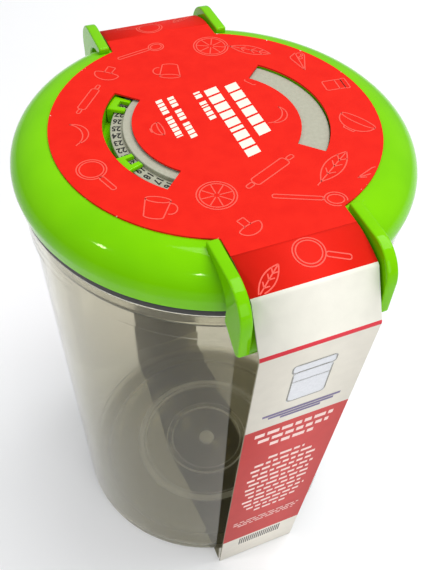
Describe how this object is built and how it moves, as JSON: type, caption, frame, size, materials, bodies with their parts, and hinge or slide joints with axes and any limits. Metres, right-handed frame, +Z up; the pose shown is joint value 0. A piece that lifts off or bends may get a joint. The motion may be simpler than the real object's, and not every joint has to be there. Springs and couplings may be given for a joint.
{
  "type": "vacuum food storage canister",
  "caption": "Round clear food canister with a sealed lift-off lid, twin grips, a date scale with sliding pointers, an air valve and a card sleeve.",
  "frame": {"origin": "middle of the underside, on the surface that the canister stands on", "axes": "+Z up through the lid, the front panel of the sleeve faces -Y, the scale's window is at -X"},
  "size_m": [0.1176, 0.1396, 0.1846],
  "materials": {
    "clear_body": "clear smoky plastic, polished",
    "green_plastic": "opaque lime green, glossy",
    "liner_plastic": "pale moulded plastic",
    "seal_rubber": "dark grey soft rubber, satin",
    "scale_plastic": "warm grey, fine satin",
    "cover_plastic": "warm grey, fine satin",
    "valve_silicone": "milky silicone",
    "card": "printed and varnished card"
  },
  "bodies": {
    "canister": {"canister": "clear_body", "base_strip": "card"},
    "lid": {"lid_shell": "green_plastic", "lid_liner": "liner_plastic", "channel_seal": "seal_rubber", "seal_ring": "seal_rubber", "number_plate": "scale_plastic", "scale_cover": "cover_plastic"},
    "day_pointer_a": {"day_pointer_a": "green_plastic"},
    "day_pointer_b": {"day_pointer_b": "green_plastic"},
    "valve": {"valve_flap": "valve_silicone", "valve_knob": "cover_plastic"},
    "sleeve": {"sleeve_top": "card"},
    "sleeve_front": {"sleeve_front": "card"},
    "sleeve_back": {"sleeve_back": "card"}
  },
  "joints": [
    {"name": "lid_lift", "type": "slide", "parent": "canister", "child": "lid", "axis": [0, 0, 1], "range_m": [0, 0.19]},
    {"name": "sleeve_lift", "type": "slide", "parent": "lid", "child": "sleeve", "axis": [0, 0, 1], "range_m": [0, 0.2]},
    {"name": "front_panel_flex", "type": "hinge", "parent": "sleeve", "child": "sleeve_front", "pos_m": [0, -0.05, 0.1833], "axis": [-1, 0, 0], "range_deg": [0, 15]},
    {"name": "back_panel_flex", "type": "hinge", "parent": "sleeve", "child": "sleeve_back", "pos_m": [0, 0.05, 0.1833], "axis": [1, 0, 0], "range_deg": [0, 15]},
    {"name": "pointer_a_turn", "type": "hinge", "parent": "lid", "child": "day_pointer_a", "pos_m": [0, 0, 0.1797], "axis": [0, 0, 1], "range_deg": [-19.98, 26.6]},
    {"name": "pointer_b_turn", "type": "hinge", "parent": "lid", "child": "day_pointer_b", "pos_m": [0, 0, 0.1797], "axis": [0, 0, 1], "range_deg": [-13.3, 109.1]},
    {"name": "valve_lift", "type": "slide", "parent": "lid", "child": "valve", "axis": [0, 0, 1], "range_m": [0, 0.0015]}
  ],
  "couplings": [
    {"joint": "front_panel_flex", "follows": "sleeve_lift", "rad_per_m": 1.05},
    {"joint": "back_panel_flex", "follows": "sleeve_lift", "rad_per_m": 1.05}
  ]
}
